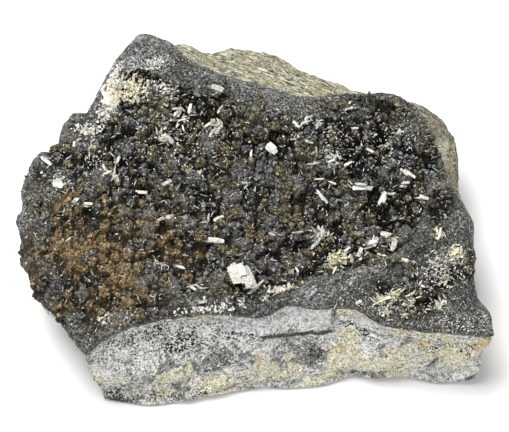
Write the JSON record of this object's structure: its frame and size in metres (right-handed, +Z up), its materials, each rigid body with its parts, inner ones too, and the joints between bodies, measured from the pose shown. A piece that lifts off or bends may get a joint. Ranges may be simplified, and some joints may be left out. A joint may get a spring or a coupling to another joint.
{
  "type": "vein ore hand specimen",
  "caption": "Angular hand specimen of vein ore: pale broken host rock under a dark galena layer, with a rough crust of small crystals on its upper face.",
  "frame": {"origin": "middle of the bounding box's bottom face, on the surface that the specimen rests on", "axes": "+X along its length towards the end with the low corner, +Y away from the pale broken front wall, +Z up out of the crystal face"},
  "size_m": [0.0898, 0.0696, 0.0276],
  "materials": {
    "pale_rock": "broken, granular and dry, pale grey to buff with dark specks",
    "galena": "dark lead grey, finely granular with a dull metallic glint",
    "crust": "crystalline, near black to orange brown, with pale flecks"
  },
  "bodies": {
    "root": {"host_rock": "pale_rock", "galena_layer": "galena", "crystal_crust": "crust"}
  },
  "joints": []
}
